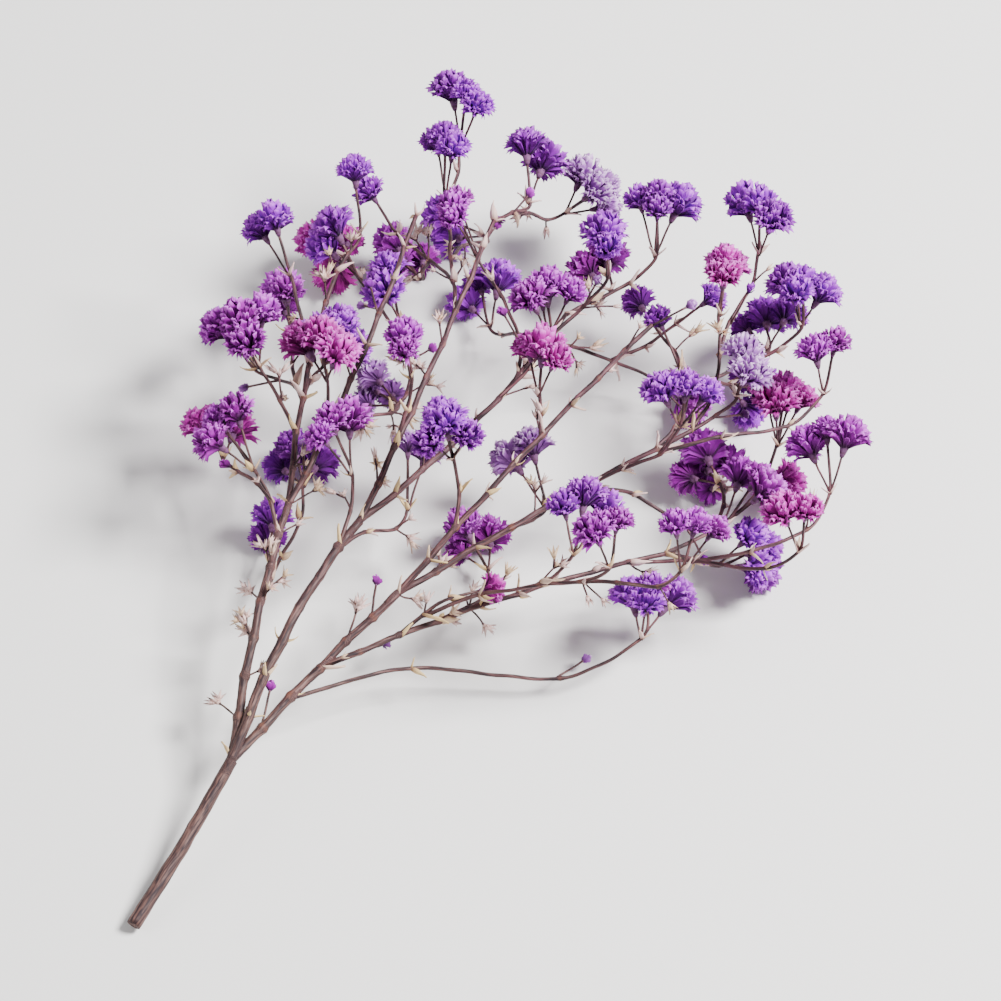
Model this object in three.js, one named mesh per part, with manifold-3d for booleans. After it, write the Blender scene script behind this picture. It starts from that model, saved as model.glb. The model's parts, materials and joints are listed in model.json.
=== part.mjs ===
// A dried and dyed spray of double-flowered gypsophila (baby's breath), lying on its side.
// Millimetres, +Z up, +Y from the cut end of the stem to the tips of the fan.
// The spray is grown by a rule: hand-placed main limbs, a place for every head of blooms in a
// flattened fan, and a side shoot to each head from the best joint behind it.
import * as THREE from "three";
import { mergeVertices } from "three/addons/utils/BufferGeometryUtils.js";
import Module from "manifold-3d";

// Where the middle of the spray's footprint lies in the frame that the limbs are placed in.
const FOOTPRINT = { x: 1.942, y: -0.215 };

// Main limbs, root to tip, with the radius at each end. A limb leaves its parent at a point.
const FORK = [1.8, -54, 9]; // where the stem first divides
const LEFT_FORK = [-16.6, -12.4, 19];
const MIDDLE_FORK = [-4.6, -9, 20];
const RIGHT_FORK = [7, -14.5, 15];
const LIMBS = [
  { thick: 1.4, thin: 1.15, through: [[4.6, -84.4, 1.5], [3.4, -69, 5], FORK] },
  { thick: 0.95, thin: 0.7, through: [FORK, [-8.8, -32.3, 15], LEFT_FORK] },
  { thick: 0.65, thin: 0.45, through: [LEFT_FORK, [-29, 10, 20], [-38, 32, 22]] },
  { thick: 0.65, thin: 0.45, through: [LEFT_FORK, [-21, 14, 27], [-30, 44, 31]] },
  { thick: 1.05, thin: 0.8, through: [FORK, [-3, -31, 17], MIDDLE_FORK] },
  { thick: 0.7, thin: 0.45, through: [MIDDLE_FORK, [-11, 22, 27], [-19, 52, 30]] },
  { thick: 0.7, thin: 0.45, through: [MIDDLE_FORK, [-1, 24, 19], [-3, 52, 16]] },
  { thick: 0.95, thin: 0.7, through: [FORK, [3.6, -32, 11], RIGHT_FORK] },
  { thick: 0.65, thin: 0.45, through: [RIGHT_FORK, [12, 16, 26], [17, 46, 33]] },
  { thick: 0.7, thin: 0.45, through: [RIGHT_FORK, [18, 14, 17], [30, 40, 20]] },
  { thick: 0.6, thin: 0.45, through: [[3.6, -32, 11], [20, -4, 12], [38, 20, 13]] },
];
const JOINT_SPACING = 7; // between the joints along a limb

// The fan of heads, seen from above, round the first fork.
const FAN = {
  left: -0.7, right: 0.6, // radians from +Y
  near: 46, far: 141, // from the fork
  rounding: 0.26, // how much shorter the fan is at its sides
  middle: 22, // height of its middle above the surface
  half: 19, // half its thickness
  spacing: 12.5, // least distance between heads
};
const HEADS = 59;
const SPARE_PLACES = 30; // tried when a head found no room or no joint
const COUNT = [1.9, 5.3]; // blooms in a head, before rounding down
const FACING = { out: 0.6, aside: 0.5, back: [-0.5, 0.3], rise: 0.9, lift: [0.1, 0.9] };

// Blooms: radius of the flower, length of its stalk, and how far two neighbours overlap.
const BLOOM = { smallest: 2.8, largest: 4.5, stalk: [8.5, 12], snug: 0.64 };
const STALK_RADIUS = 0.3;
const ROOT = 0.55; // radius of a side shoot's root, inside its parent, as a share of the parent's
const SINK = 0.35; // how far before its joint a side shoot starts, inside its parent
const SHOOT = { thick: 0.5, thin: 0.32 };
const CLEAR = 0.35; // between a bloom and anything that isn't its own
const SETTLE = { below: 6, pressed: 1 }; // heads this low sink to the surface, pressed flat there
const BRACT = { radius: 0.6, length: [3.2, 4.6], lean: 0.85, least: 0.3, fallen: 0.74 };
const BUD = { radius: 0.95, length: 2.7, stalk: [4, 7], lean: [0.45, 0.9], count: 22 };


// Petal colours, the commoner ones more than once; a whole head was dyed alike.
const VIOLET = 0x6a2fc4, PURPLE = 0x7d34b8, MAGENTA = 0xa03ab4, LILAC = 0x9a7fc0;
const DYES = [VIOLET, PURPLE, VIOLET, MAGENTA, PURPLE, VIOLET, LILAC];
const STEM_COLOUR = 0x6e4b55;

const wasm = await Module();
wasm.setup();

// The same draws every time: a Lehmer generator.
function draws(seed) {
  let state = seed;
  return (low, high) => {
    state = (state * 16807) % 2147483647;
    return low + ((high - low) * state) / 2147483647;
  };
}

const at = (p) => new THREE.Vector3(...p);
const along = (p, direction, distance) => p.clone().addScaledVector(direction, distance);

// Two directions square to a given one.
function across(direction) {
  const helper = Math.abs(direction.z) < 0.8 ? at([0, 0, 1]) : at([1, 0, 0]);
  const side = new THREE.Vector3().crossVectors(direction, helper).normalize();
  return [side, new THREE.Vector3().crossVectors(direction, side)];
}

// A direction that leans away from another by an angle, round it by a turn.
function leaning(direction, lean, turn) {
  const [side, other] = across(direction);
  return direction
    .clone()
    .multiplyScalar(Math.cos(lean))
    .addScaledVector(side, Math.sin(lean) * Math.cos(turn))
    .addScaledVector(other, Math.sin(lean) * Math.sin(turn))
    .normalize();
}

function distanceToSegment(p, a, b) {
  const ab = b.clone().sub(a);
  const t = THREE.MathUtils.clamp(p.clone().sub(a).dot(ab) / ab.lengthSq(), 0, 1);
  return along(a, ab, t).distanceTo(p);
}

// What grows, and where: lines of stem, the joints along them, heads of blooms, bracts and buds.
const stems = [];
const joints = [];
const heads = [];
const bracts = [];
const buds = [];

function addJoints(points, radius) {
  for (let i = 1; i < points.length; i++) {
    const place = points[i];
    const heading = place.clone().sub(points[i - 1]).normalize();
    const foot = along(place, heading, -SINK);
    joints.push({ place, foot, heading, radius, shoots: [], end: i === points.length - 1 });
  }
}

// A limb bends smoothly through its three points. It counts as a shoot of the joint it leaves.
function growLimbs() {
  for (const { thick, thin, through } of LIMBS) {
    const [root, middle, tip] = through.map(at);
    const pull = along(middle.clone().multiplyScalar(2), root, -0.5).addScaledVector(tip, -0.5);
    const curve = new THREE.QuadraticBezierCurve3(root, pull, tip);
    const length = root.distanceTo(middle) + middle.distanceTo(tip);
    const points = curve.getPoints(Math.round(length / JOINT_SPACING));
    const parent = joints.find((joint) => joint.place.distanceTo(root) < JOINT_SPACING / 2);
    if (parent) parent.shoots.push(points[1].clone().sub(root).normalize());
    stems.push({ points, thick, thin, sides: thick > 1.2 ? 7 : 5 });
    addJoints(points, thin);
  }
}

// Places for the heads, evenly scattered in the fan, nearest to the fork first.
function headPlaces() {
  const draw = draws(4217);
  const fork = at(FORK);
  const places = [];
  for (let tries = 0; tries < 20000 && places.length < HEADS + SPARE_PLACES; tries++) {
    const turn = draw(FAN.left, FAN.right);
    const side = turn / FAN.right;
    const far = FAN.far * (1 - FAN.rounding * side * side);
    const reach = Math.sqrt(draw(FAN.near ** 2, far ** 2));
    const thickness = FAN.half * Math.min(1, 0.45 + reach / 110);
    const height = FAN.middle + thickness * draw(-1, 1);
    const place = at([fork.x + reach * Math.sin(turn), fork.y + reach * Math.cos(turn), height]);
    if (places.every((p) => p.distanceTo(place) > FAN.spacing)) places.push(place);
  }
  const nearestFirst = (a, b) => a.distanceTo(fork) - b.distanceTo(fork);
  return [...places.slice(0, HEADS).sort(nearestFirst), ...places.slice(HEADS)];
}

// A place for the head at the end of each limb that ends in the fan.
const limbEnds = () =>
  joints
    .filter((joint) => joint.end && joint.place.y > 0)
    .map((joint) => along(joint.place, joint.heading, 19));

// Blooms on one fork: the first in the middle, the others round it, each touching the first.
function posy(middle, facing, count, draw) {
  const radii = Array.from({ length: count }, () => draw(BLOOM.smallest, BLOOM.largest));
  const reach = draw(...BLOOM.stalk);
  const turn = draw(0, 2 * Math.PI);
  const fork = along(middle, facing, -reach);
  const blooms = radii.map((radius, i) => {
    const own = i ? reach * draw(0.84, 1.04) : reach;
    const apart = BLOOM.snug * (radii[0] + radius);
    const cosine = (reach ** 2 + own ** 2 - apart ** 2) / (2 * reach * own);
    const lean = i ? Math.acos(cosine) : 0;
    const axis = leaning(facing, lean, turn + (2 * Math.PI * i) / Math.max(1, count - 1));
    return { centre: along(fork, axis, own), axis, radius };
  });
  return { fork, facing, blooms };
}

const lower = (head, drop) => {
  head.fork.z -= drop;
  for (const bloom of head.blooms) bloom.centre.z -= drop;
};

function clearOfStems(bloom) {
  return stems.every(({ points, thick }) =>
    points.every(
      (p, i) =>
        !i || distanceToSegment(bloom.centre, points[i - 1], p) > bloom.radius + thick + CLEAR,
    ),
  );
}

const clearOfBlooms = (bloom) =>
  heads.every((head) =>
    head.blooms.every(
      (b) => b.centre.distanceTo(bloom.centre) > (b.radius + bloom.radius) * 0.95 + CLEAR,
    ),
  );

function pathClear(points, radius, blooms) {
  return blooms.every((bloom) =>
    points.every(
      (p, i) =>
        !i || distanceToSegment(bloom.centre, points[i - 1], p) > bloom.radius + radius + CLEAR,
    ),
  );
}

// A shoot from the joint behind a fork that gives the shortest and straightest way to it.
function shootTo(fork, facing, ownBlooms) {
  const others = [...heads.flatMap((head) => head.blooms), ...ownBlooms];
  let best = null;
  for (const joint of joints) {
    const chord = fork.clone().sub(joint.place);
    const length = chord.length();
    const way = chord.divideScalar(length);
    const turn = way.angleTo(joint.heading);
    if (length < 5 || turn > 0.95 || (!joint.end && turn < 0.2)) continue;
    if (way.angleTo(facing) > 1.3 || joint.shoots.length > 1) continue;
    if (joint.shoots.some((other) => other.angleTo(way) < 0.45)) continue;
    const cost = length * (1 + 0.9 * turn);
    if (best && cost >= best.cost) continue;
    const curve = new THREE.CubicBezierCurve3(
      joint.foot,
      along(joint.place, joint.heading, length * 0.3),
      along(fork, facing, -length * 0.25),
      fork,
    );
    const points = curve.getPoints(length > 16 ? 3 : 2);
    if (pathClear(points, SHOOT.thick, others)) best = { joint, points, way, cost };
  }
  return best;
}

function growHead(place, count, draw) {
  const fork = at(FORK);
  for (let tries = 0; tries < 60; tries++) {
    const out = place.clone().sub(fork).setZ(0).normalize();
    const up = (place.z - FAN.middle) / FAN.half;
    const facing = out
      .multiplyScalar(FACING.out)
      .add(at([
        draw(-FACING.aside, FACING.aside),
        draw(...FACING.back),
        up * FACING.rise + draw(...FACING.lift),
      ]))
      .normalize();
    const wanted = Math.max(1, count - Math.floor(tries / 15));
    const head = posy(place.clone(), facing, wanted, draw);
    const bottom = Math.min(...head.blooms.map((b) => b.centre.z - b.radius));
    if (bottom < SETTLE.below) lower(head, bottom + SETTLE.pressed);
    if (head.fork.z < 1 || !head.blooms.every((b) => clearOfStems(b) && clearOfBlooms(b))) continue;
    const shoot = shootTo(head.fork, facing, head.blooms);
    if (!shoot) continue;
    const others = heads.flatMap((h) => h.blooms);
    const stalks = head.blooms.map((b) => [head.fork, along(b.centre, b.axis, -b.radius - 0.25)]);
    if (!stalks.every((line) => pathClear(line, STALK_RADIUS, others))) continue;
    shoot.joint.shoots.push(shoot.way);
    const root = ROOT * shoot.joint.radius;
    stems.push({ points: [...shoot.points, stalks[0][1]], root, ...SHOOT, sides: 3 });
    addJoints(shoot.points.slice(0, -1), SHOOT.thin);
    for (const points of stalks.slice(1))
      stems.push({ points, root: ROOT * SHOOT.thin, thick: STALK_RADIUS, thin: STALK_RADIUS, sides: 3 });
    heads.push(head);
    return true;
  }
  return false;
}

// Pointed bracts where a shoot leaves, one under it and one across from it, if that hasn't fallen.
function growBracts() {
  const draw = draws(60013);
  const blooms = heads.flatMap((head) => head.blooms);
  for (const { place, foot, heading, shoots, radius } of joints) {
    if (!shoots.length || radius < BRACT.least) continue;
    const side = along(shoots[0], heading, -shoots[0].dot(heading)).normalize();
    for (const way of [1, -1]) {
      const direction = heading
        .clone()
        .multiplyScalar(Math.cos(BRACT.lean))
        .addScaledVector(side, way * Math.sin(BRACT.lean));
      const tip = along(place, direction, draw(...BRACT.length));
      const fallen = way < 0 && draw(0, 1) < BRACT.fallen;
      if (!fallen && tip.z > 0.5 && pathClear([place, tip], BRACT.radius, blooms)) bracts.push({ foot, tip });
    }
  }
}

// Closed buds on short stalks, at joints that still have room.
function growBuds() {
  const draw = draws(88007);
  const blooms = heads.flatMap((head) => head.blooms);
  for (let tries = 0; tries < 2000 && buds.length < BUD.count; tries++) {
    const joint = joints[Math.floor(draw(0, joints.length))];
    const direction = leaning(joint.heading, draw(...BUD.lean), draw(0, 2 * Math.PI));
    const tip = along(joint.place, direction, draw(...BUD.stalk));
    const end = along(tip, direction, BUD.length);
    if (end.z < 2 || joint.shoots.length > 1 || joint.place.y < at(FORK).y) continue;
    if (joint.shoots.some((way) => way.angleTo(direction) < 0.5)) continue;
    if (!pathClear([joint.place, end], BUD.radius, blooms)) continue;
    joint.shoots.push(direction);
    buds.push({ tip, direction });
    stems.push({
      points: [joint.foot, along(tip, direction, 0.5)],
      root: ROOT * joint.radius, thick: STALK_RADIUS, thin: STALK_RADIUS, sides: 3,
    });
  }
}

growLimbs();
const counts = draws(977);
for (const place of [...limbEnds(), ...headPlaces()])
  if (heads.length < HEADS) growHead(place, Math.floor(counts(...COUNT)), draws(31 + heads.length * 7));
growBracts();
growBuds();

// A closed body from a geometry.
function solid(geometry) {
  geometry.deleteAttribute("normal");
  geometry.deleteAttribute("uv");
  const merged = mergeVertices(geometry, 1e-4);
  return new wasm.Manifold(
    new wasm.Mesh({
      numProp: 3,
      vertProperties: merged.attributes.position.array,
      triVerts: new Uint32Array(merged.index.array),
    }),
  );
}

// A tapering stem through points: a unit cylinder laid along them.
function stemGeometry({ points, root, thick, thin, sides }) {
  const steps = points.length - 1;
  const geometry = new THREE.CylinderGeometry(1, 1, 1, sides, steps);
  const position = geometry.attributes.position;
  let [side, other] = across(points[1].clone().sub(points[0]).normalize());
  const rings = points.map((p, i) => {
    const heading = points[Math.min(i + 1, steps)].clone().sub(points[Math.max(i - 1, 0)]).normalize();
    other = new THREE.Vector3().crossVectors(side, heading).normalize();
    side = new THREE.Vector3().crossVectors(heading, other);
    return { side: side.clone(), other: other.clone() };
  });
  for (let i = 0; i < position.count; i++) {
    const ring = Math.round((position.getY(i) + 0.5) * steps);
    const radius = ring || !root ? THREE.MathUtils.lerp(thick, thin, ring / steps) : root;
    const p = points[ring]
      .clone()
      .addScaledVector(rings[ring].side, radius * position.getX(i))
      .addScaledVector(rings[ring].other, radius * position.getZ(i));
    position.setXYZ(i, p.x, p.y, p.z);
  }
  return geometry;
}

// A closed skin over rings of points, from a point at the bottom to a point at the top.
function skin(rings) {
  const places = rings.flat();
  const starts = [];
  rings.reduce((start, ring) => (starts.push(start), start + ring.length), 0);
  const faces = [];
  for (let k = 1; k < rings.length; k++) {
    const [low, high] = [rings[k - 1].length, rings[k].length];
    for (let i = 0, j = 0; i < low || j < high; ) {
      const a = starts[k - 1] + (i % low);
      const b = starts[k] + (j % high);
      const upper = low === 1 || (high > 1 && j / high <= i / low && j < high);
      if (low === 1 && j >= high) break;
      if (high === 1 && i >= low) break;
      if (upper) faces.push(a, starts[k] + ((j + 1) % high), b), j++;
      else faces.push(a, starts[k - 1] + ((i + 1) % low), b), i++;
    }
  }
  const geometry = new THREE.BufferGeometry().setFromPoints(places);
  return geometry.setIndex(faces);
}

// One double flower: a small green cup under two whorls of petals with notches between them,
// and a tuft in the middle.
const PETALS = 5;
function bloomGeometry({ centre, axis, radius }, draw) {
  const [side, other] = across(axis);
  const spin = draw(0, 2 * Math.PI);
  const point = (out, up, turn) =>
    centre
      .clone()
      .addScaledVector(side, radius * out * Math.cos(turn + spin))
      .addScaledVector(other, radius * out * Math.sin(turn + spin))
      .addScaledVector(axis, radius * up);
  const whorl = (tip, notch, offset) =>
    Array.from({ length: 2 * PETALS }, (_, i) => {
      const { out, up } = (i + offset) % 2 ? notch : tip;
      return point(out * draw(0.92, 1), up + draw(-0.06, 0.06), (Math.PI * i) / PETALS);
    });
  const inner = Array.from({ length: PETALS }, (_, i) =>
    point(draw(0.6, 0.84), draw(0.42, 0.66), (2 * Math.PI * (i + 0.5)) / PETALS),
  );
  return skin([
    [point(0, -0.95, 0)],
    whorl({ out: 0.98, up: -0.05 }, { out: 0.56, up: -0.17 }, 0),
    inner,
    [point(0, 0.16, 0)],
  ]);
}

const floor = solid(new THREE.BoxGeometry(400, 400, 20).translate(0, 0, -10));

function headSolid(head, seed) {
  const draw = draws(seed);
  const fused = head.blooms.map((b) => solid(bloomGeometry(b, draw))).reduce((a, b) => a.add(b));
  return fused.subtract(floor);
}

// A bract: a three-sided blade, pointed at both ends, its foot sunk in the stem.
function bractGeometry({ foot, tip }) {
  const length = tip.distanceTo(foot);
  const outline = [[0, 0], [BRACT.radius, length * 0.42], [0, length]];
  const geometry = new THREE.LatheGeometry(outline.map((p) => new THREE.Vector2(...p)), 3);
  const turn = new THREE.Quaternion().setFromUnitVectors(at([0, 1, 0]), tip.clone().sub(foot).normalize());
  return geometry.applyQuaternion(turn).translate(foot.x, foot.y, foot.z);
}

// A closed bud: an eight-sided lozenge, longer than wide.
function budGeometry({ tip, direction }) {
  const { radius, length } = BUD;
  const geometry = new THREE.OctahedronGeometry(1).scale(radius, length / 2, radius);
  geometry.translate(0, length / 2, 0);
  const turn = new THREE.Quaternion().setFromUnitVectors(at([0, 1, 0]), direction);
  return geometry.applyQuaternion(turn).translate(tip.x, tip.y, tip.z);
}

function stemSolid() {
  const pieces = [...stems.map(stemGeometry), ...bracts.map(bractGeometry), ...buds.map(budGeometry)];
  return pieces.map(solid).reduce((a, b) => a.add(b)).simplify(0.02);
}

function mesh(name, solidBody, colour, roughness) {
  const { numProp, vertProperties, triVerts } = solidBody.getMesh();
  const positions = new Float32Array((vertProperties.length / numProp) * 3);
  for (let i = 0; i < positions.length / 3; i++)
    positions.set(vertProperties.subarray(i * numProp, i * numProp + 3), i * 3);
  const geometry = new THREE.BufferGeometry();
  geometry.setAttribute("position", new THREE.BufferAttribute(positions, 3));
  geometry.setIndex(new THREE.BufferAttribute(triVerts, 1));
  geometry.computeVertexNormals();
  const made = new THREE.Mesh(
    geometry,
    new THREE.MeshStandardMaterial({ color: colour, roughness, metalness: 0, flatShading: true }),
  );
  made.name = name;
  return made;
}

const spray = new THREE.Group();
spray.name = "gypsophila_spray";
spray.position.set(-FOOTPRINT.x, -FOOTPRINT.y, 0);
spray.add(mesh("stem", stemSolid(), STEM_COLOUR, 0.8));
const dye = draws(5003);
heads.forEach((head, i) => {
  const name = "bloom_head_" + String(i + 1).padStart(2, "0");
  const colour = DYES[Math.floor(dye(0, DYES.length))];
  spray.add(mesh(name, headSolid(head, 101 + 13 * i), colour, 0.85));
});

export default spray;
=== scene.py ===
import json
from math import acos, atan2, ceil, cos, exp, floor, hypot, pi, radians, sin, sqrt

import bmesh
import bpy
import numpy as np
from mathutils import Matrix, Vector
from mathutils.kdtree import KDTree

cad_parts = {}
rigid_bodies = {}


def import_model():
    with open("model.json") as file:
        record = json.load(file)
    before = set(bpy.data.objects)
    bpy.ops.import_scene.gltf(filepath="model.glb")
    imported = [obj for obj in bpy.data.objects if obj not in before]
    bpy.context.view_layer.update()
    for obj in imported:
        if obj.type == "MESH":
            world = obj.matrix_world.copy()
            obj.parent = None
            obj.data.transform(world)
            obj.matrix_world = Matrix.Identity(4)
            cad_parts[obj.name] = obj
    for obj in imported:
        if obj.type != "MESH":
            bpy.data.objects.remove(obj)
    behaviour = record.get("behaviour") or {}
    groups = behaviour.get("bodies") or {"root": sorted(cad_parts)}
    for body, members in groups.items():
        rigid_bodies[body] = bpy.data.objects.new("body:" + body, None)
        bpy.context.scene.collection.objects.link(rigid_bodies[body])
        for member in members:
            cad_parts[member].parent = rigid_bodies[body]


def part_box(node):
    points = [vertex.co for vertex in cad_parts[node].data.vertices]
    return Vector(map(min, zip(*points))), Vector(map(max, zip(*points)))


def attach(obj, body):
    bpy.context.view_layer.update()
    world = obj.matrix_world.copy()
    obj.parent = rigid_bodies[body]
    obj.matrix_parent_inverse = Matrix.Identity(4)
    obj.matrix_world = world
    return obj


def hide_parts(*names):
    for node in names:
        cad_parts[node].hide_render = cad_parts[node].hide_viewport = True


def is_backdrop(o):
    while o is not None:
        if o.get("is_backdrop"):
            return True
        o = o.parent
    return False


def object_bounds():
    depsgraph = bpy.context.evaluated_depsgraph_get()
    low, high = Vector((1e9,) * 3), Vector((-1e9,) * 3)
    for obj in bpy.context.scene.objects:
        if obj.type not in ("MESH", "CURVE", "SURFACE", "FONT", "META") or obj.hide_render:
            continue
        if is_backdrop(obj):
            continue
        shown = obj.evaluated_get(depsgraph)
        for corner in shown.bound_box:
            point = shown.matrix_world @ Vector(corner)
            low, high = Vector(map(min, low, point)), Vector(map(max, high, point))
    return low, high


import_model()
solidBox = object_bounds()
millimetre = 0.001

# The spray grows by the same rule as its solids, in millimetres, so every piece lands on its solid.
growth = {
    "footprint": (1.942, -0.215),  # middle of the footprint, as the limbs are placed
    "jointSpacing": 7, "jointDepth": 0.35,  # and how far behind a joint its shoots start
    "fanLeft": -0.7, "fanRight": 0.6, "near": 46, "far": 141, "rounding": 0.26, "pastLimb": 19,
    "middle": 22, "half": 19, "spacing": 12.5,
    "thin": 0.45, "thickens": 110,  # share of the full thickness at the fork, and how fast it grows
    "heads": 59, "sparePlaces": 30,
    "smallest": 2.8, "largest": 4.5, "stalk": (8.5, 12), "uneven": (0.84, 1.04), "stalkRadius": 0.3,
    "snug": 0.64, "squeeze": 0.95, "clear": 0.35, "cupGap": 0.25,
    "count": (1.9, 5.3),  # blooms in a head, before rounding down
    "out": 0.6, "aside": 0.5, "back": (-0.5, 0.3), "rise": 0.9, "lift": (0.1, 0.9),  # which way it faces
    "headTries": 60, "fewerEvery": 15,  # a head that finds no place loses a bloom after some tries
    "shootThick": 0.5, "shootThin": 0.32,
    "settleBelow": 6, "pressed": 1, "lowestFork": 1,
    "bractRadius": 0.6, "bractLength": (3.2, 4.6), "bractLean": 0.85, "bractLeast": 0.3, "fallen": 0.74,
    "bractLowest": 0.5,
}
budRule = {
    "count": 22, "radius": 0.95, "length": 2.7, "seat": 0.5, "stalk": (4, 7), "lean": (0.45, 0.9),
    "most": 1, "apart": 0.5, "clear": 0.95, "lowest": 2,
}
shootRule = {  # lengths in millimetres, turns in radians, the last two as shares of its length
    "shortest": 5, "long": 16, "sharpest": 0.95, "least": 0.2, "fromFacing": 1.3, "apart": 0.45,
    "most": 1, "turnCost": 0.9, "leaving": 0.3, "arriving": 0.25,
}
seeds = {
    "places": 4217, "counts": 977, "heads": 31, "bracts": 60013, "buds": 88007, "petals": 700,
    "bloomForm": 9001, "budForm": 611, "dye": 5003, "turns": 31337, "twigs": 52101, "sway": 20011,
    "smallBracts": 71917, "dried": 4409, "claws": 11, "bractBlades": 3,
}
seedSteps = {"heads": 7, "petals": 37, "bloomForm": 97, "budForm": 97}
tries = 20000
firstFork, leftFork = (1.8, -54, 9), (-16.6, -12.4, 19)
middleFork, rightFork = (-4.6, -9, 20), (7, -14.5, 15)
limbs = [  # radius at the root and at the tip, then three points that it goes through
    (1.4, 1.15, (4.6, -84.4, 1.5), (3.4, -69, 5), firstFork),
    (0.95, 0.7, firstFork, (-8.8, -32.3, 15), leftFork),
    (0.65, 0.45, leftFork, (-29, 10, 20), (-38, 32, 22)),
    (0.65, 0.45, leftFork, (-21, 14, 27), (-30, 44, 31)),
    (1.05, 0.8, firstFork, (-3, -31, 17), middleFork),
    (0.7, 0.45, middleFork, (-11, 22, 27), (-19, 52, 30)),
    (0.7, 0.45, middleFork, (-1, 24, 19), (-3, 52, 16)),
    (0.95, 0.7, firstFork, (3.6, -32, 11), rightFork),
    (0.65, 0.45, rightFork, (12, 16, 26), (17, 46, 33)),
    (0.7, 0.45, rightFork, (18, 14, 17), (30, 40, 20)),
    (0.6, 0.45, (3.6, -32, 11), (20, -4, 12), (38, 20, 13)),
]
stems, joints, heads, bracts, buds = [], [], [], [], []


# the same draws every time
def draws(name, number=0, factor=16807, period=2147483647):
    state = seeds[name] + number * seedSteps.get(name, 0)

    def draw(low, high):
        nonlocal state
        state = state * factor % period
        return low + (high - low) * state / period

    return draw


def oneOf(choice, draw):
    return choice[floor(draw(0, len(choice)))]


def at(x, y, z):
    return np.array((x, y, z), dtype=float)


def unit(v):
    return v / sqrt(v @ v)


def span(a, b):
    return sqrt((a - b) @ (a - b))


def angle(a, b):
    return acos(max(-1.0, min(1.0, (a @ b) / sqrt((a @ a) * (b @ b)))))


# whether a direction is too close to others that leave the same joint
def crowded(ways, direction, apart):
    return any(angle(way, direction) < apart for way in ways)


# two directions square to a given one
def across(direction, steep=0.8):
    helper = at(0, 0, 1) if abs(direction[2]) < steep else at(1, 0, 0)
    side = unit(np.cross(direction, helper))
    return side, np.cross(direction, side)


def leaning(direction, lean, turn):
    side, other = across(direction)
    return unit(
        direction * cos(lean)
        + side * (sin(lean) * cos(turn))
        + other * (sin(lean) * sin(turn))
    )


# least distance from each of several centres to a line of points
def distances(centres, points):
    best = np.full(len(centres), np.inf)
    for a, b in zip(points, points[1:]):
        ab = b - a
        t = np.clip((centres - a) @ ab / (ab @ ab), 0, 1)
        best = np.minimum(best, np.linalg.norm(a + t[:, None] * ab - centres, axis=1))
    return best


def addStem(points, thick, thin, kind, **more):
    stems.append({"points": points, "thick": thick, "thin": thin, "kind": kind, **more})


def addStalk(points, radius, parent):
    addStem(points, radius, radius, "stalk", parent=parent)


def addJoints(points, radius):
    for i in range(1, len(points)):
        heading = unit(points[i] - points[i - 1])
        joints.append({
            "place": points[i], "foot": points[i] - heading * growth["jointDepth"], "heading": heading,
            "radius": radius, "shoots": [], "end": i == len(points) - 1,
        })


def growLimbs():
    spacing = growth["jointSpacing"]
    for thick, thin, *through in limbs:
        root, middle, tip = (at(*p) for p in through)
        pull = middle * 2 - root * 0.5 - tip * 0.5
        steps = floor((span(root, middle) + span(middle, tip)) / spacing + 0.5)
        points = []
        for k in range(steps + 1):
            t = k / steps
            points.append(root * (1 - t) ** 2 + pull * (2 * (1 - t) * t) + tip * t ** 2)
        parent = next((j for j in joints if span(j["place"], root) < spacing / 2), None)
        if parent:
            parent["shoots"].append(unit(points[1] - root))
        addStem(points, thick, thin, "limb", carrier=parent["heading"] if parent else None)
        addJoints(points, thin)


# places for the heads, evenly scattered in the fan, nearest to the fork first
def headPlaces():
    g = growth
    draw = draws("places")
    fork = at(*firstFork)
    places = []
    for _ in range(tries):
        if len(places) >= g["heads"] + g["sparePlaces"]:
            break
        turn = draw(g["fanLeft"], g["fanRight"])
        side = turn / g["fanRight"]
        far = g["far"] * (1 - g["rounding"] * side * side)
        reach = sqrt(draw(g["near"] ** 2, far ** 2))
        thickness = g["half"] * min(1, g["thin"] + reach / g["thickens"])
        height = g["middle"] + thickness * draw(-1, 1)
        place = at(fork[0] + reach * sin(turn), fork[1] + reach * cos(turn), height)
        if all(span(p, place) > g["spacing"] for p in places):
            places.append(place)
    return sorted(places[:g["heads"]], key=lambda p: span(p, fork)) + places[g["heads"]:]


def limbEnds():
    ends = [j for j in joints if j["end"] and j["place"][1] > 0]
    return [j["place"] + j["heading"] * growth["pastLimb"] for j in ends]


# blooms on one fork: the first in the middle, the others round it
def posy(middle, facing, count, draw):
    radii = [draw(growth["smallest"], growth["largest"]) for _ in range(count)]
    reach = draw(*growth["stalk"])
    turn = draw(0, 2 * pi)
    fork = middle - facing * reach
    blooms = []
    for i, radius in enumerate(radii):
        own = reach * draw(*growth["uneven"]) if i else reach
        apart = growth["snug"] * (radii[0] + radius)
        lean = acos((reach ** 2 + own ** 2 - apart ** 2) / (2 * reach * own)) if i else 0
        axis = leaning(facing, lean, turn + 2 * pi * i / max(1, count - 1))
        blooms.append({"centre": fork + axis * own, "axis": axis, "radius": radius})
    return {"fork": fork, "facing": facing, "blooms": blooms}


def centresAndRadii(blooms):
    centres = np.array([b["centre"] for b in blooms]).reshape(-1, 3)
    return centres, np.array([b["radius"] for b in blooms])


def pathClear(points, radius, blooms):
    centres, radii = centresAndRadii(blooms)
    return np.all(distances(centres, points) > radii + radius + growth["clear"])


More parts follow.
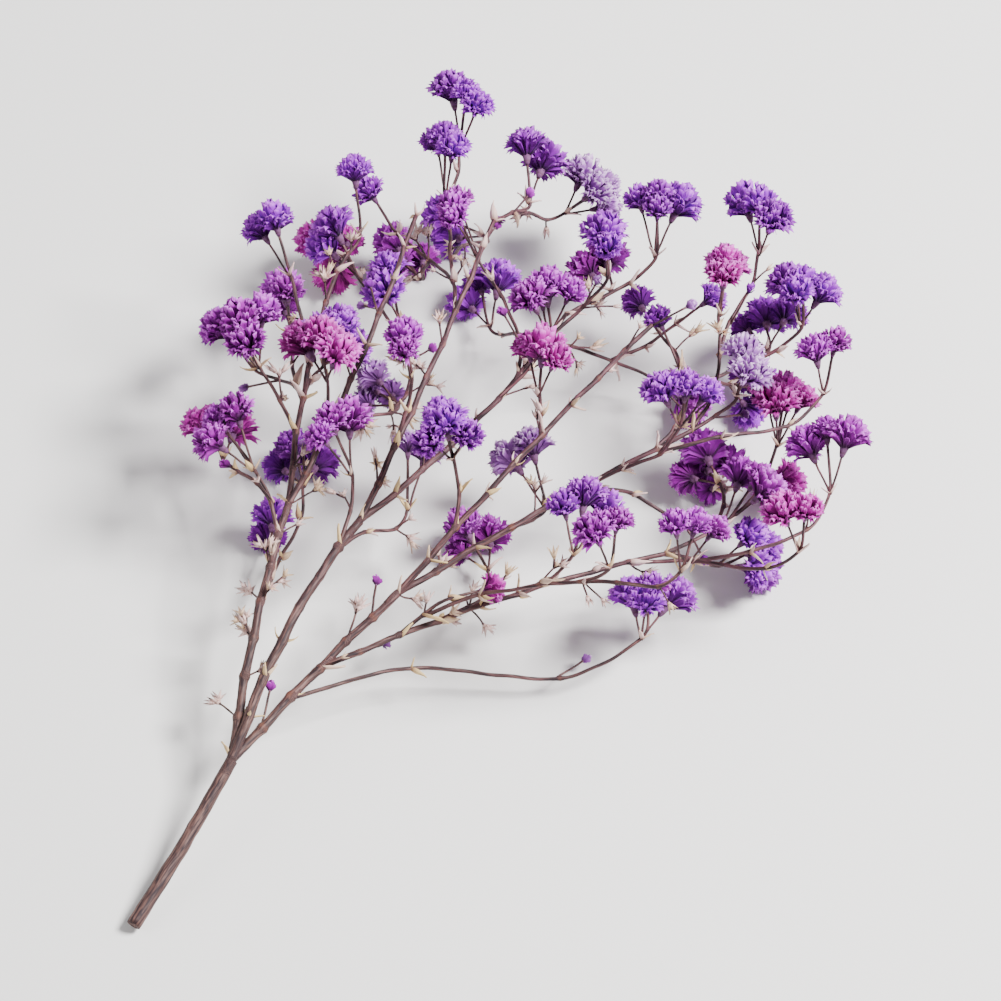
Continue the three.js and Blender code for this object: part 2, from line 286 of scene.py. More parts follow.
def hasRoom(blooms, others):
    centres, radii = centresAndRadii(blooms)
    for stem in stems:
        if np.any(distances(centres, stem["points"]) <= radii + stem["thick"] + growth["clear"]):
            return False
    placed, sizes = centresAndRadii(others)
    gaps = np.linalg.norm(centres[:, None] - placed[None], axis=2)
    least = (radii[:, None] + sizes[None]) * growth["squeeze"] + growth["clear"]
    return np.all(gaps > least)


# a shoot to a fork, from the joint that gives the shortest and straightest way
def shootTo(fork, facing, others):
    rule = shootRule
    places, headings, ends = (np.array([j[key] for j in joints]) for key in ("place", "heading", "end"))
    taken = np.array([len(j["shoots"]) for j in joints])
    chords = fork - places
    lengths = np.linalg.norm(chords, axis=1)
    ways = chords / lengths[:, None]
    turns = np.arccos(np.clip(np.sum(ways * headings, axis=1), -1, 1))
    facings = np.arccos(np.clip(ways @ facing, -1, 1))
    fits = (
        (lengths >= rule["shortest"]) & (turns <= rule["sharpest"]) & (ends | (turns >= rule["least"]))
        & (facings <= rule["fromFacing"]) & (taken <= rule["most"])
    )
    costs = lengths * (1 + rule["turnCost"] * turns)
    for k in sorted(np.nonzero(fits)[0], key=lambda k: costs[k]):
        joint, length, way = joints[k], lengths[k], ways[k]
        if crowded(joint["shoots"], way, rule["apart"]):
            continue
        a, b = joint["foot"], joint["place"] + joint["heading"] * (length * rule["leaving"])
        c, d = fork - facing * (length * rule["arriving"]), fork
        steps = 3 if length > rule["long"] else 2
        points = []
        for i in range(steps + 1):
            t = i / steps
            points.append(
                a * (1 - t) ** 3 + b * (3 * (1 - t) ** 2 * t) + c * (3 * (1 - t) * t ** 2) + d * t ** 3
            )
        if pathClear(points, growth["shootThick"], others):
            return joint, points, way
    return None


def allBlooms():
    return [b for head in heads for b in head["blooms"]]


def growHead(place, count, draw):
    g = growth
    for tried in range(g["headTries"]):
        out = place - at(*firstFork)
        out[2] = 0
        up = (place[2] - g["middle"]) / g["half"]
        nudge = at(draw(-g["aside"], g["aside"]), draw(*g["back"]), up * g["rise"] + draw(*g["lift"]))
        facing = unit(unit(out) * g["out"] + nudge)
        head = posy(place, facing, max(1, count - tried // g["fewerEvery"]), draw)
        blooms = head["blooms"]
        bottom = min(b["centre"][2] - b["radius"] for b in blooms)
        if bottom < g["settleBelow"]:
            drop = at(0, 0, bottom + g["pressed"])
            head["fork"] = head["fork"] - drop
            for bloom in blooms:
                bloom["centre"] = bloom["centre"] - drop
        fork, others = head["fork"], allBlooms()
        if fork[2] < g["lowestFork"] or not hasRoom(blooms, others):
            continue
        found = shootTo(fork, facing, others + blooms)
        if not found:
            continue
        joint, points, way = found
        stalks = [[fork, b["centre"] - b["axis"] * (b["radius"] + g["cupGap"])] for b in blooms]
        if not all(pathClear(line, g["stalkRadius"], others) for line in stalks):
            continue
        joint["shoots"].append(way)
        shoot = points + [stalks[0][1]]
        addStem(shoot, g["shootThick"], g["shootThin"], "shoot", parent=joint["radius"])
        addJoints(points[:-1], g["shootThin"])
        for line in stalks[1:]:
            addStalk(line, g["stalkRadius"], g["shootThin"])
        heads.append(head)
        return


def growBracts():
    g = growth
    draw = draws("bracts")
    blooms = allBlooms()
    for joint in joints:
        if not joint["shoots"] or joint["radius"] < g["bractLeast"]:
            continue
        shoot, heading = joint["shoots"][0], joint["heading"]
        side = unit(shoot - heading * (shoot @ heading))
        for way in (1, -1):
            direction = heading * cos(g["bractLean"]) + side * (way * sin(g["bractLean"]))
            tip = joint["place"] + direction * draw(*g["bractLength"])
            fallen = way < 0 and draw(0, 1) < g["fallen"]
            clear = pathClear([joint["place"], tip], g["bractRadius"], blooms)
            if not fallen and tip[2] > g["bractLowest"] and clear:
                bracts.append({"foot": joint["foot"], "tip": tip, "heading": heading})


# side stalks where some joints have room, until enough are placed: joint, direction and tip of each
def sideStalks(choice, rule, placed, draw):
    blooms = allBlooms()
    for _ in range(tries):
        if len(placed) >= rule["count"]:
            return
        joint = oneOf(choice, draw)
        shoots, place = joint["shoots"], joint["place"]
        direction = leaning(joint["heading"], draw(*rule["lean"]), draw(0, 2 * pi))
        tip = place + direction * draw(*rule["stalk"])
        end = tip + direction * rule["length"]
        if (
            end[2] >= rule["lowest"] and place[1] >= firstFork[1] and len(shoots) <= rule["most"]
            and not crowded(shoots, direction, rule["apart"])
            and pathClear([place, end], rule["clear"], blooms)
        ):
            shoots.append(direction)
            yield joint, direction, tip


def growBuds():
    for joint, direction, tip in sideStalks(joints, budRule, buds, draws("buds")):
        buds.append({"tip": tip, "direction": direction})
        end = tip + direction * budRule["seat"]
        addStalk([joint["foot"], end], growth["stalkRadius"], joint["radius"])


growLimbs()
counts = draws("counts")
for headPlace in limbEnds() + headPlaces():
    if len(heads) < growth["heads"]:
        growHead(headPlace, floor(counts(*growth["count"])), draws("heads", len(heads)))
growBracts()
growBuds()
print("grown:", len(heads), "heads,", len(bracts), "bracts and", len(buds), "buds")

# how far each head lies from its solid
worst = 0
for headIndex, grown in enumerate(heads):
    low, high = (np.array(corner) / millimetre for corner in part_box("bloom_head_%02d" % (headIndex + 1)))
    ends = [b["centre"] + way * b["radius"] for b in grown["blooms"] for way in (-1, 1)]
    middle = (np.min(ends, axis=0) + np.max(ends, axis=0)) / 2 - at(*growth["footprint"], 0)
    worst = max(worst, np.max(np.abs((low + high) / 2 - middle)))
print("heads are within", round(worst, 2), "mm of their solids")


def deselectAll():
    bpy.ops.object.select_all(action="DESELECT")


def makeActive(piece):
    deselectAll()
    piece.select_set(True)
    bpy.context.view_layer.objects.active = piece


def startEdit(piece):
    makeActive(piece)
    bpy.ops.object.mode_set(mode="EDIT")


def endEdit():
    bpy.ops.object.mode_set(mode="OBJECT")


# in edit mode, leaves only the vertices selected that the test holds for
def pick(piece, test):
    shape = bmesh.from_edit_mesh(piece.data)
    for v in shape.verts:
        v.select_set(test(v.co))
    shape.select_flush_mode()
    bmesh.update_edit_mesh(piece.data)


def move(x, y, z):
    bpy.ops.transform.translate(value=(x, y, z))


# gives a surface its thickness, smooth shading and a material
def finishForm(piece, paint, thickness, offset=0):
    makeActive(piece)
    modifier = piece.modifiers.new("thickness", "SOLIDIFY")
    modifier.thickness, modifier.offset = thickness, offset
    bpy.ops.object.modifier_apply(modifier=modifier.name)
    bpy.ops.object.shade_smooth()
    piece.data.materials.append(paint)
    return piece


def joined(pieces, name):
    deselectAll()
    for piece in pieces:
        piece.select_set(True)
    whole = bpy.context.view_layer.objects.active = pieces[0]
    if len(pieces) > 1:
        bpy.ops.object.join()
    whole.name = whole.data.name = name
    return whole


def setValues(piece, name, kind, field, values):
    mesh = piece.data
    layer = mesh.attributes.get(name) or mesh.attributes.new(name, kind, "POINT")
    layer.data.foreach_set(field, np.array(values, dtype=np.float32))


def newObject(name, data):
    made = bpy.data.objects.new(name, data)
    bpy.context.collection.objects.link(made)
    return made


# a copy with its own mesh, moved within it, with a number that its material reads
def copyOf(piece, name, matrix, tone, value):
    copied = piece.copy()
    copied.data = piece.data.copy()
    copied.name = name
    bpy.context.collection.objects.link(copied)
    copied.data.transform(matrix)
    setValues(copied, tone, "FLOAT", "value", np.full(len(copied.data.vertices), value))
    return copied


def inFrame(p):
    return Vector(p - at(*growth["footprint"], 0)) * millimetre


# a turn that takes a shape's own three axes to three directions
def turned(x, y, z):
    return Matrix((x, y, z)).transposed().to_4x4()


# turns a shape's own upright and front to two directions, scales it and stands it at a place
def standing(place, upright, front, size):
    up = Vector(upright).normalized()
    side = Vector(front).cross(up).normalized()
    turn = turned(side, up.cross(side), up)
    return Matrix.Translation(inFrame(place)) @ turn @ Matrix.Diagonal((*size, 1))


# a colour from 0 to 255, as shaders take it
def linear(colour):
    parts = [c / 255 for c in colour]
    return (*(c / 12.92 if c <= 0.04045 else ((c + 0.055) / 1.055) ** 2.4 for c in parts), 1)


class Wire:
    def __init__(self, paint, socket):
        self.paint, self.socket = paint, socket

    def sum(self, operation, first, second):
        return self.paint.node("ShaderNodeMath", {"operation": operation}, {0: first, 1: second})

    def __add__(self, other):
        return self.sum("ADD", self, other)

    def __radd__(self, other):
        return self.sum("ADD", other, self)

    def __sub__(self, other):
        return self.sum("SUBTRACT", self, other)

    def __rsub__(self, other):
        return self.sum("SUBTRACT", other, self)

    def __mul__(self, other):
        return self.sum("MULTIPLY", self, other)

    def __rmul__(self, other):
        return self.sum("MULTIPLY", other, self)

    # a pattern that averages a half, as one that swings about zero
    def swing(self, amount):
        return (self - 0.5) * amount


class Paint:
    def __init__(self, name):
        self.material = bpy.data.materials.new(name)
        self.material.use_nodes = True
        self.tree = self.material.node_tree
        self.shader = next(n for n in self.tree.nodes if n.type == "BSDF_PRINCIPLED")

    # adds a node: its settings first, then its inputs, and gives one of its outputs
    def node(self, kind, settings, inputs, output=0):
        made = self.tree.nodes.new(kind)
        for name, value in settings.items():
            setattr(made, name, value)
        self.fill(made, inputs)
        return Wire(self, made.outputs[output])

    def fill(self, made, inputs):
        for name, value in inputs.items():
            if isinstance(value, Wire):
                self.tree.links.new(value.socket, made.inputs[name])
            else:
                made.inputs[name].default_value = value

    def mix(self, factor, first, second):
        return self.node("ShaderNodeMix", {"data_type": "RGBA"}, {0: factor, 6: first, 7: second}, 2)

    # how far a value lies in a range, from 0 to 1 or between two shares
    def between(self, *values):
        return self.node("ShaderNodeMapRange", {}, dict(enumerate(values)))

    # from one colour to another while a value goes through a range
    def blend(self, value, limits, first, second):
        return self.mix(self.between(value, *limits), first, second)

    def tone(self, name, output=2):
        return self.node("ShaderNodeAttribute", {"attribute_name": name}, {}, output)

    def place(self):
        return self.node("ShaderNodeTexCoord", {}, {}, 3)

    def second(self, vector):
        return self.node("ShaderNodeSeparateXYZ", {}, {0: vector}, 1)

    def noise(self, vector, scale, detail=3, roughness=0.6):
        return self.node("ShaderNodeTexNoise", {}, {
            "Vector": vector, "Scale": scale, "Detail": detail, "Roughness": roughness,
        })

    # how far along a blade a point lies, and veins that run along it
    def blade(self, veins):
        uv = self.node("ShaderNodeUVMap", {"uv_map": "UVMap"}, {})
        stretched = self.node("ShaderNodeVectorMath", {"operation": "MULTIPLY"}, {0: uv, 1: (*veins, 1)})
        return self.second(uv), self.noise(stretched, 1)

    # gives the shader its colour, its relief and what its look says
    def finish(self, look, colour, relief, rough=0):
        self.fill(self.shader, {
            "Base Color": colour, "Roughness": rough + look["rough"],
            "Specular IOR Level": look["shine"], "Sheen Weight": look.get("sheen", 0),
            "Normal": self.node("ShaderNodeBump", {}, {
                "Strength": look["relief"], "Distance": look["depth"], "Height": relief,
            }),
        })
        return self.material


# Ranges are where a colour starts and ends, and where four are given, its share at both ends.
petalLook = {
    "colours": {  # at the claw, a painted shade deep in the bloom, along the blade, of the uneven dye, and along the tip
        "violet": ((42, 0, 54), (130, 0, 162), (154, 14, 202), (218, 106, 246)),
        "purple": ((48, 0, 48), (144, 0, 150), (170, 18, 186), (226, 106, 238)),
        "magenta": ((62, 0, 50), (168, 4, 142), (194, 28, 174), (236, 118, 224)),
        "lilac": ((74, 30, 84), (152, 84, 174), (178, 110, 198), (232, 194, 240)),
    },
    "veins": (16, 1.1), "blotches": 900,  # how many across and along a petal, and to a metre
    "uneven": (0.25, 0.75), "claw": (0.14, 0.62), "tip": (0.84, 1.06, 0, 0.9),
    "lines": (0.48, 0.72, 0, 0.4), "shade": (0, 0.6, 0.4, 0),
    "patchy": 0.5, "varied": 0.16, "ragged": 0.4,  # how far these ranges shift
    "rough": 0.72, "roughVaried": 0.2, "sheen": 0.06, "shine": 0.22, "relief": 0.8, "depth": 0.00008,
}


# dyed petals: painted shade at the claw, deep in the bloom, the full colour along the blade, pale along the
# ragged tip
def petalPaint(name, claw, blade, uneven, tip):
    look, paint = petalLook, Paint(name)
    along, veins = paint.blade(look["veins"])
    petalTone, bloomTone = paint.tone("petalTone"), paint.tone("bloomTone")
    blotch = paint.noise(paint.place(), look["blotches"], detail=2)
    body = paint.blend(bloomTone + blotch.swing(look["patchy"]), look["uneven"], blade, uneven)
    rise = along + petalTone.swing(look["varied"]) + veins.swing(look["ragged"])
    # the claw colour is painted shade, darkening the petal bases that lie deep in the bloom
    shaded = paint.blend(rise, look["claw"], claw, body)
    edged = paint.blend(rise, look["tip"], shaded, tip)
    lined = paint.blend(veins, look["lines"], edged, claw)
    colour = paint.blend(petalTone, look["shade"], lined, claw)
    return paint.finish(look, colour, veins, blotch.swing(look["roughVaried"]))


petalPaints = {
    name: petalPaint("petals" + name.title(), *map(linear, colours))
    for name, colours in petalLook["colours"].items()
}

stemLook = {
    "dim": ((72, 46, 42), (70, 34, 44)), "lit": ((108, 76, 68), (106, 60, 70)),  # plain and dyed
    "cracks": (38, 20, 26), "fibres": (152, 116, 110), "joints": (128, 72, 50),
    "dyedFrom": (-0.045, 0.03), "dyeVaried": 0.06,  # in metres along the spray
    "grain": 3, "patches": 160, "patchy": (0.35, 0.68), "cracked": (0.44, 0.6),
    "raised": (0.06, 0.2, 0, 0.45), "coppery": (0.5, 1.2, 0, 0.5), "copperVaried": 1.4,
    "rough": 0.62, "roughVaried": 0.3, "shine": 0.4, "relief": 0.7, "depth": 0.00012,
}


# brown wood at the foot, mauve with dye further up, coppery round the joints
def stemPaint():
    look, paint = stemLook, Paint("stemWood")
    bark, swell = paint.tone("bark", 1), paint.tone("swell")
    place = paint.place()
    fibres, patches = paint.noise(bark, look["grain"], detail=4), paint.noise(place, look["patches"])
    dyed = paint.between(paint.second(place) + patches.swing(look["dyeVaried"]), *look["dyedFrom"])
    dim, lit = (paint.mix(dyed, *map(linear, look[k])) for k in ("dim", "lit"))
    plain = paint.blend(patches, look["patchy"], dim, lit)
    streaked = paint.blend(fibres, look["cracked"], plain, linear(look["cracks"]))
    pale = paint.blend(0.5 - fibres, look["raised"], streaked, linear(look["fibres"]))
    knotty = swell + patches.swing(look["copperVaried"])
    colour = paint.blend(knotty, look["coppery"], pale, linear(look["joints"]))
    return paint.finish(look, colour, fibres, fibres.swing(look["roughVaried"]))


paperLook = {
    "colours": {  # of the blade, at its foot, blushed with dye, and of its veins
        "bract": ((222, 194, 138), (132, 84, 66), (226, 196, 192), (166, 120, 100)),
        "calyx": ((124, 88, 98), (82, 50, 62), (116, 70, 122), (84, 54, 68)),
    },
    "veins": (22, 1.2), "blushed": (0.25, 0.75), "veined": (0.46, 0.66, 0, 0.75), "foot": (0, 0.4, 0.8, 0),
    "blushVaried": 0.4, "footVaried": 0.5,
    "rough": 0.75, "shine": 0.3, "relief": 0.5, "depth": 0.00008,
}


def paperPaint(name, body, foot, blush, vein):
    look, paint = paperLook, Paint(name)
    tone = paint.tone("petalTone")
    along, veins = paint.blade(look["veins"])
    base = paint.blend(tone + veins.swing(look["blushVaried"]), look["blushed"], body, blush)
    veined = paint.blend(veins, look["veined"], base, vein)
    colour = paint.blend(along + veins.swing(look["footVaried"]), look["foot"], veined, foot)
    return paint.finish(look, colour, veins)


bractPaint, calyxPaint = (
    paperPaint(name + "Paper", *map(linear, colours))
    for name, colours in paperLook["colours"].items()
)
woodPaint = stemPaint()

cutLook = {
    "wood": (176, 140, 104), "pores": (104, 70, 54), "scale": 5200, "open": (0.38, 0.66),
    "rough": 0.8, "shine": 0.5, "relief": 0.6, "depth": 0.00008,
}


def cutFacePaint():
    look, paint = cutLook, Paint("cutFace")
    pores = paint.noise(paint.place(), look["scale"])
    colour = paint.blend(pores, look["open"], linear(look["wood"]), linear(look["pores"]))
    return paint.finish(look, colour, pores)


cutPaint = cutFacePaint()
print("materials made")

touching = 0.01  # points closer than this to a row or a rim belong to it
rowShare = 0.4  # or, where a row is ragged, closer than this share of the space between rows


# a flat blade one unit long, left in edit mode
def newBlade(name, columns, rows):
    deselectAll()
    bpy.ops.mesh.primitive_grid_add(x_subdivisions=columns, y_subdivisions=rows, size=1, location=(0, 0, 0))
    blade = bpy.context.object
    blade.name = name
    blade.data.transform(Matrix.Translation((0, 0.5, 0)))
    startEdit(blade)
    return blade


# picks the row of points at a place along a blade, and sets its width
def setRow(blade, place, rows, wide, high=1):
    pick(blade, lambda c: abs(c.y - place) < rowShare / rows)
    bpy.ops.transform.resize(value=(wide, 1, high), center_override=(0, place, 0))


def crumple(piece, test, amount, seed):
    pick(piece, test)
    bpy.ops.transform.vertex_random(offset=amount, seed=seed)
    endEdit()


petalShape = {
    "columns": 4,
    "rows": (0, 0.42, 0.78, 1),  # where its rows of points lie along it
    "widths": (0.05, 0.17, 0.3, 0.25),
    "tooth": 0.045, "round": 0.5,  # how far its tip is ragged, and how far its corners fall back
    "teeth": (0, 0.6), "notches": (0.5, 1.3),  # as shares of a tooth
    "pleat": 0.036, "crumple": 0.026, "flatTo": 0.3, "thickness": 0.012,
    "uneven": 0.012, "sway": 0.02, "flareCurve": 2.4, "variants": 4, "seedStep": 5,
}
petalKinds = {  # how far it flares outwards, cups and curls inwards, its width, and how pleated it is
    "under": (0.27, -0.03, -0.06, 0.86, 1.6),
    "skirt": (0.2, 0, -0.03, 0.9, 1.5),
    "side": (-0.1, 0.03, 0.02, 1.08, 1),
    "crown": (-0.14, 0.05, 0.04, 1.05, 1),
}


def makePetal(kind, seed):
    form, columns, rows = petalShape, petalShape["columns"], petalShape["rows"]
    flare, cupped, curl, wide, pleated = petalKinds[kind]
    last = len(rows) - 1
    tooth, pleat = form["tooth"] / pleated, form["pleat"] * pleated
    petal = newBlade("petal" + kind.title() + str(seed), columns, last)
    draw = draws("petals", seed)
    for i in range(columns + 1):
        x, ridge = i / columns - 0.5, i % 2
        for j in range(1, last + 1):
            pick(petal, lambda c: abs(c.x - x) < touching and abs(c.y - j / last) < touching)
            fold = (pleat if ridge else -pleat) * j / last
            move(0, 0, cupped * 4 * x * x + fold + draw(-form["uneven"], form["uneven"]))
        pick(petal, lambda c: abs(c.x - x) < touching and c.y > 1 - touching)
        edge = -tooth * draw(*form["notches"]) if ridge else tooth * draw(*form["teeth"])
        move(0, edge - form["round"] * x * x, 0)
    for j in range(last + 1):
        old, new = j / last, rows[j]
        setRow(petal, old, last, form["widths"][j] * wide)
        bend = (curl if j == last else 0) - flare * new ** form["flareCurve"]
        move(draw(-form["sway"], form["sway"]) * new, new - old, bend)
    crumple(petal, lambda c: c.y > form["flatTo"], form["crumple"] * pleated, seed)
    return finishForm(petal, petalPaints["violet"], form["thickness"])


petals = {
    kind: [makePetal(kind, number + petalShape["seedStep"] * k) for k in range(petalShape["variants"])]
    for number, kind in enumerate(petalKinds)
}
print("petals modelled, with", len(petals["side"][0].data.polygons), "faces each")

calyxShape = {
    "sides": 10, "foot": 0.07, "waist": 0.13, "rim": 0.2, "wall": 0.02,
    "height": 0.42, "low": 0.3, "high": 0.5,  # and the shares of it below and above its waist
    "cup": (1.05, 0.12),  # how far its teeth spread, and how far they rise
    "claws": ((2.1, 0.42), (2.9, 0.3), (1.4, 0.56)), "curl": 0.05, "curlFrom": 0.9,
}


# a small cup with five teeth, under a bloom or left empty
def makeCalyx(name, paint, spread, tooth):
    form = calyxShape
    top, rise = form["height"] * form["low"], form["height"] * form["high"]
    deselectAll()
    bpy.ops.mesh.primitive_cylinder_add(
        vertices=form["sides"], radius=form["foot"], depth=top, end_fill_type="NOTHING", location=(0, 0, 0))
    calyx = bpy.context.object
    calyx.name = name
    calyx.data.transform(Matrix.Translation((0, 0, top / 2)))

    def widen(share, height):
        bpy.ops.transform.resize(value=(share, share, 1), center_override=(0, 0, height))

    startEdit(calyx)
    pick(calyx, lambda c: c.z > top - touching)
    widen(form["waist"] / form["foot"], top)
    bpy.ops.mesh.select_mode(type="EDGE")
    bpy.ops.mesh.extrude_edges_move(TRANSFORM_OT_translate={"value": (0, 0, rise)})
    bpy.ops.mesh.select_mode(type="VERT")
    widen(form["rim"] / form["waist"], top)
    step = 2 * pi / form["sides"]
    pick(calyx, lambda c: c.z > top + rise - touching and round(atan2(c.x, c.y) / step) % 2 == 0)
    widen(spread, top + rise)
    move(0, 0, tooth)
    endEdit()
    finishForm(calyx, paint, form["wall"], 1)
    startEdit(calyx)
    bpy.ops.mesh.select_all(action="SELECT")
    bpy.ops.uv.reset()
    endEdit()
    return calyx


cup = makeCalyx("cup", calyxPaint, *calyxShape["cup"])
claws = [makeCalyx("claw" + str(k), bractPaint, *teeth) for k, teeth in enumerate(calyxShape["claws"])]
for k, claw in enumerate(claws):  # dried teeth curl each their own way
    startEdit(claw)
    low = calyxShape["height"] * calyxShape["curlFrom"]
    crumple(claw, lambda c: c.z > low, calyxShape["curl"], seeds["claws"] + k)

bloomForm = {
    "openings": (1, 1.05, 0.93, 0.84, 0.74),  # one for each form: less is a narrower cup
    "petalWide": 1,
    "root": -0.86, "middle": -0.12, "wide": 0.98, "high": 0.8,  # the dome that the petals' tips reach
    "whorls": (  # how many petals, how far from the top of the dome their tips lie, and their kind
        (7, (110, 127), "under"), (12, (93, 109), "skirt"), (12, (77, 93), "skirt"), (12, (57, 75), "side"),
        (9, (36, 56), "side"), (6, (18, 37), "crown"), (4, (2, 16), "crown"),
    ),
}
budForm = {
    "openings": (1, 0.86), "petalWide": 2.1,
    "root": -0.95, "middle": -0.15, "wide": 0.82, "high": 1.0,
    "whorls": ((5, (64, 82), "side"), (5, (36, 54), "crown"), (3, (6, 24), "crown")),
}
looseness = {  # how far petals stray from an even whorl, and the cup under them
    "turn": 0.36, "out": (0.86, 1.03), "up": (0.88, 1.04), "flare": (0.6, 1.5), "wide": (0.85, 1.3),
    "roll": 0.7, "cupAt": -1.12, "cupSize": (0.9, 0.9, 1.2, 1),
}


def makeBloom(name, form, number):
    draw, loose = draws(name, number), looseness
    parts = []
    for count, places, kind in form["whorls"]:
        start, kindFlare = draw(0, 2 * pi), petalKinds[kind][0]
        for i in range(count):
            turn = start + 2 * pi * (i + draw(-loose["turn"], loose["turn"])) / count
            down = radians(draw(*places)) * form["openings"][number]
            out = form["wide"] * sin(down) * draw(*loose["out"])
            up = form["middle"] + form["high"] * cos(down) * draw(*loose["up"]) - form["root"]
            flare = kindFlare * draw(*loose["flare"])
            lean, length = atan2(out, up) - flare, hypot(out, up)
            high, low = cos(lean), sin(lean)
            ahead = Vector((low * cos(turn), low * sin(turn), high))
            inner = Vector((-high * cos(turn), -high * sin(turn), low))
            wide = draw(*loose["wide"]) * form["petalWide"]
            size = Matrix.Diagonal((wide, length, length * flare / kindFlare, 1))
            roll = Matrix.Rotation(draw(-loose["roll"], loose["roll"]), 4, "Y")
            root = Matrix.Translation((0, 0, form["root"]))
            variant = oneOf(petals[kind], draw)
            place = root @ turned(ahead.cross(inner), ahead, inner) @ roll @ size
            parts.append(copyOf(variant, "petal", place, "petalTone", draw(0, 1)))
    place = Matrix.Translation((0, 0, loose["cupAt"])) @ Matrix.Diagonal(loose["cupSize"])
    parts.append(copyOf(cup, "foot", place, "petalTone", draw(0, 1)))
    return joined(parts, name + str(number))


bloomForms = [makeBloom("bloomForm", bloomForm, k) for k in range(len(bloomForm["openings"]))]
budForms = [makeBloom("budForm", budForm, k) for k in range(len(budForm["openings"]))]
print("bloom forms:", [len(b.data.polygons) for b in bloomForms], "faces each")

pressing = {"height": 0.9}  # millimetres above the surface below which petals are pressed flat


# squeezes what is close to the surface, or under it, into the last bit above it
def pressDown(piece):
    places = np.empty(len(piece.data.vertices) * 3)
    piece.data.vertices.foreach_get("co", places)
    heights = places[2::3]
    top = pressing["height"] * millimetre
    low = heights < top
    heights[low] = top * np.exp((heights[low] - top) / top)
    piece.data.vertices.foreach_set("co", places)


dyeNames = ("violet", "purple", "violet", "magenta", "purple", "violet", "lilac")
dye, bloomDraw = draws("dye"), draws("turns")
for headIndex, grown in enumerate(heads):
    colour = oneOf(dyeNames, dye)
    parts = []
    for bloom in grown["blooms"]:
        form = oneOf(bloomForms, bloomDraw)
        turn = bloomDraw(0, 2 * pi)
        side, other = across(bloom["axis"])
        front = side * cos(turn) + other * sin(turn)
        place = standing(bloom["centre"], bloom["axis"], front, [bloom["radius"] * millimetre] * 3)
        parts.append(copyOf(form, "bloom", place, "bloomTone", bloomDraw(0, 1)))
    name = "%02d" % (headIndex + 1)
    head = joined(parts, "bloomHead" + name)
    head.data.materials[0] = petalPaints[colour]
    pressDown(head)
    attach(head, "root")
    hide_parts("bloom_head_" + name)
    "petals_" + colour
print("blooms placed")

stemShape = {
    "knot": 0.3, "knotReach": 0.5,  # how much a joint swells, as a share of the radius, and how far
    "plainKnot": 0.35,  # the share of that at a joint where nothing branches off
    "knotSizes": (0.6, 1.4), "leastReach": 0.8, "swellReach": 0.4,
    "waves": (0.9, 0.53), "phase": 6.28, "otherPhase": 1.7,  # of the wobble, both ways
    "collar": 1.3, "collarMost": 0.8, "rough": 0.04,
    "rooted": 2.6,  # how far inside the fork a limb starts
    "calm": 0.25, "boldest": 1.2,  # how much of the knots and bends a stem thicker than that keeps
    "tension": 0.42,  # 0.5 bends evenly between joints, less keeps the stretches straight
    "grainShift": 37, "grainSlow": 0.12,  # between stems, and how slow the grain is along one
    "merge": 0.000001,
}
stemKinds = {  # millimetres between rings, how far joints stand out, the wobble, slimness and roundness
    "limb": (1.0, 0.12, 0.04, 0.88, 4),
    "shoot": (0.9, 0.26, 0.08, 0.76, 2),
    "stalk": (1.7, 0, 0.07, 0.68, 1),
}


# points along a line through others, and how far along each lies
def smoothLine(points, step):
    padded = [points[0] * 2 - points[1]] + points + [points[-1] * 2 - points[-2]]
    line, marks = [], []
    for k in range(1, len(padded) - 2):
        a, b, c, d = padded[k - 1:k + 3]
        leaving, arriving = (c - a) * stemShape["tension"], (d - b) * stemShape["tension"]
        pieces = max(2, ceil(span(b, c) / step))
        for i in range(pieces):
            t = i / pieces
            line.append(
                b * (2 * t ** 3 - 3 * t ** 2 + 1) + leaving * (t ** 3 - 2 * t ** 2 + t)
                + c * (3 * t ** 2 - 2 * t ** 3) + arriving * (t ** 3 - t ** 2)
            )
            marks.append(k - 1 + t)
    return line + [points[-1]], marks + [len(points) - 1]


